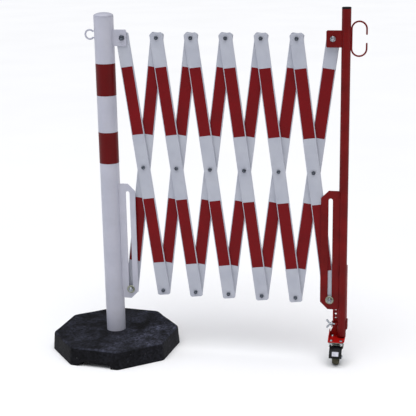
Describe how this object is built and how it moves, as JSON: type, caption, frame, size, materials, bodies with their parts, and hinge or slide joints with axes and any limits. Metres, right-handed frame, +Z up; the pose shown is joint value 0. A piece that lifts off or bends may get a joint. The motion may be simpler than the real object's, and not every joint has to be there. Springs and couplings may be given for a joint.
{
  "type": "folding lattice barrier",
  "caption": "Mobile folding lattice barrier: post in an octagonal foot plate, red and white slats on pivots, and a castor post with a hook.",
  "frame": {"origin": "on the floor, on the axis of the post that stands in the foot plate", "axes": "+Z up, +X along the fence from the foot plate to the castor post, -Y the side with the brackets, nuts and guide plates"},
  "size_m": [0.9815, 0.392, 1.082],
  "materials": {
    "steel_white": "white powder coat, satin",
    "slat_white": "aluminium with a white powder coat, satin",
    "film_red": "red reflective film, gloss",
    "paint_red": "traffic red powder coat, satin",
    "foot_red": "traffic red powder coat, satin",
    "zinc": "bright zinc plate",
    "black_plastic": "moulded black plastic",
    "pale_plastic": "pale grey moulded insert",
    "recycled_rubber": "moulded recycled rubber, rough and scuffed",
    "tread_rubber": "grey rubber tread, matt"
  },
  "bodies": {
    "foot_plate_body": {"base_plate": "recycled_rubber"},
    "post": {"post_tube": "steel_white", "post_cap": "steel_white", "upper_band": "film_red", "lower_band": "film_red", "left_pivot_bracket": "steel_white", "left_guide_plate": "steel_white", "chain_eye": "steel_white", "left_pivot_bolt": "zinc"},
    "front_slat_1": {"front_slat_1": "slat_white", "front_bolts_1": "zinc"},
    "rear_slat_1": {"rear_slat_1": "slat_white", "rear_bolt_1": "zinc", "left_slot_bolt": "zinc"},
    "front_slat_2": {"front_slat_2": "slat_white", "front_bolts_2": "zinc"},
    "rear_slat_2": {"rear_slat_2": "slat_white", "rear_bolt_2": "zinc"},
    "front_slat_3": {"front_slat_3": "slat_white", "front_bolts_3": "zinc"},
    "rear_slat_3": {"rear_slat_3": "slat_white", "rear_bolt_3": "zinc"},
    "front_slat_4": {"front_slat_4": "slat_white", "front_bolts_4": "zinc"},
    "rear_slat_4": {"rear_slat_4": "slat_white", "rear_bolt_4": "zinc"},
    "front_slat_5": {"front_slat_5": "slat_white", "front_bolts_5": "zinc"},
    "rear_slat_5": {"rear_slat_5": "slat_white", "rear_bolt_5": "zinc"},
    "front_slat_6": {"front_slat_6": "slat_white", "front_bolts_6": "zinc", "right_slot_bolt": "zinc"},
    "rear_slat_6": {"rear_slat_6": "slat_white"},
    "castor_post": {"wheel_post_tube": "paint_red", "wheel_post_cap": "black_plastic", "right_pivot_bracket": "paint_red", "right_guide_plate": "paint_red", "chain_hook": "paint_red", "right_pivot_bolt": "zinc", "foot_clip": "paint_red", "screw_boss": "paint_red"},
    "wing_screw": {"wing_screw": "zinc"},
    "sliding_foot": {"foot_rail": "foot_red", "foot_plate": "foot_red", "castor_plate": "zinc", "castor_bolts": "zinc", "castor_kingpin": "zinc", "castor_balls": "zinc"},
    "castor_swivel": {"castor_fork": "zinc", "castor_axle": "zinc", "pedal_pin": "zinc"},
    "castor_wheel": {"wheel_tread": "tread_rubber", "wheel_hub": "black_plastic"},
    "brake": {"brake_pedal": "black_plastic", "pedal_pad": "pale_plastic"}
  },
  "joints": [
    {"name": "post_lift", "type": "slide", "parent": "foot_plate_body", "child": "post", "axis": [0, 0, 1], "range_m": [0, 0.06]},
    {"name": "fence_fold", "type": "hinge", "parent": "post", "child": "front_slat_1", "pos_m": [0.057, 0, 0.992], "axis": [0, -1, 0], "range_deg": [0, 45.63]},
    {"name": "crossing_1", "type": "hinge", "parent": "front_slat_1", "child": "rear_slat_1", "pos_m": [0.1095, 0, 0.59546], "axis": [0, -1, 0], "range_deg": [-91.36, 0]},
    {"name": "top_pivot_2", "type": "hinge", "parent": "rear_slat_1", "child": "front_slat_2", "pos_m": [0.162, 0, 0.992], "axis": [0, -1, 0], "range_deg": [0, 91.36]},
    {"name": "crossing_2", "type": "hinge", "parent": "front_slat_2", "child": "rear_slat_2", "pos_m": [0.2145, 0, 0.59546], "axis": [0, -1, 0], "range_deg": [-91.36, 0]},
    {"name": "top_pivot_3", "type": "hinge", "parent": "rear_slat_2", "child": "front_slat_3", "pos_m": [0.267, 0, 0.992], "axis": [0, -1, 0], "range_deg": [0, 91.36]},
    {"name": "crossing_3", "type": "hinge", "parent": "front_slat_3", "child": "rear_slat_3", "pos_m": [0.3195, 0, 0.59546], "axis": [0, -1, 0], "range_deg": [-91.36, 0]},
    {"name": "top_pivot_4", "type": "hinge", "parent": "rear_slat_3", "child": "front_slat_4", "pos_m": [0.372, 0, 0.992], "axis": [0, -1, 0], "range_deg": [0, 91.36]},
    {"name": "crossing_4", "type": "hinge", "parent": "front_slat_4", "child": "rear_slat_4", "pos_m": [0.4245, 0, 0.59546], "axis": [0, -1, 0], "range_deg": [-91.36, 0]},
    {"name": "top_pivot_5", "type": "hinge", "parent": "rear_slat_4", "child": "front_slat_5", "pos_m": [0.477, 0, 0.992], "axis": [0, -1, 0], "range_deg": [0, 91.36]},
    {"name": "crossing_5", "type": "hinge", "parent": "front_slat_5", "child": "rear_slat_5", "pos_m": [0.5295, 0, 0.59546], "axis": [0, -1, 0], "range_deg": [-91.36, 0]},
    {"name": "top_pivot_6", "type": "hinge", "parent": "rear_slat_5", "child": "front_slat_6", "pos_m": [0.582, 0, 0.992], "axis": [0, -1, 0], "range_deg": [0, 91.36]},
    {"name": "crossing_6", "type": "hinge", "parent": "front_slat_6", "child": "rear_slat_6", "pos_m": [0.6345, 0, 0.59546], "axis": [0, -1, 0], "range_deg": [-91.36, 0]},
    {"name": "castor_post_pivot", "type": "hinge", "parent": "rear_slat_6", "child": "castor_post", "pos_m": [0.687, 0, 0.992], "axis": [0, -1, 0], "range_deg": [0, 45.73]},
    {"name": "foot_slide", "type": "slide", "parent": "castor_post", "child": "sliding_foot", "axis": [0, 0, 1], "range_m": [-0.13, 0]},
    {"name": "wing_screw_turn", "type": "hinge", "parent": "castor_post", "child": "wing_screw", "pos_m": [0.68945, 0.001, 0.118], "axis": [1, 0, 0], "range_deg": [-360, 0]},
    {"name": "castor_turn", "type": "hinge", "parent": "sliding_foot", "child": "castor_swivel", "pos_m": [0.71145, -0.01415, 0.06], "axis": [0, 0, 1], "continuous": true},
    {"name": "wheel_spin", "type": "hinge", "parent": "castor_swivel", "child": "castor_wheel", "pos_m": [0.71145, -0.03215, 0.025], "axis": [1, 0, 0], "continuous": true},
    {"name": "brake_press", "type": "hinge", "parent": "castor_swivel", "child": "brake", "pos_m": [0.71145, -0.01815, 0.052], "axis": [1, 0, 0], "range_deg": [0, 6]}
  ],
  "couplings": [
    {"joint": "crossing_1", "follows": "fence_fold", "ratio": -2},
    {"joint": "top_pivot_2", "follows": "fence_fold", "ratio": 2},
    {"joint": "crossing_2", "follows": "fence_fold", "ratio": -2},
    {"joint": "top_pivot_3", "follows": "fence_fold", "ratio": 2},
    {"joint": "crossing_3", "follows": "fence_fold", "ratio": -2},
    {"joint": "top_pivot_4", "follows": "fence_fold", "ratio": 2},
    {"joint": "crossing_4", "follows": "fence_fold", "ratio": -2},
    {"joint": "top_pivot_5", "follows": "fence_fold", "ratio": 2},
    {"joint": "crossing_5", "follows": "fence_fold", "ratio": -2},
    {"joint": "top_pivot_6", "follows": "fence_fold", "ratio": 2},
    {"joint": "crossing_6", "follows": "fence_fold", "ratio": -2},
    {"joint": "castor_post_pivot", "follows": "fence_fold", "ratio": 1}
  ]
}
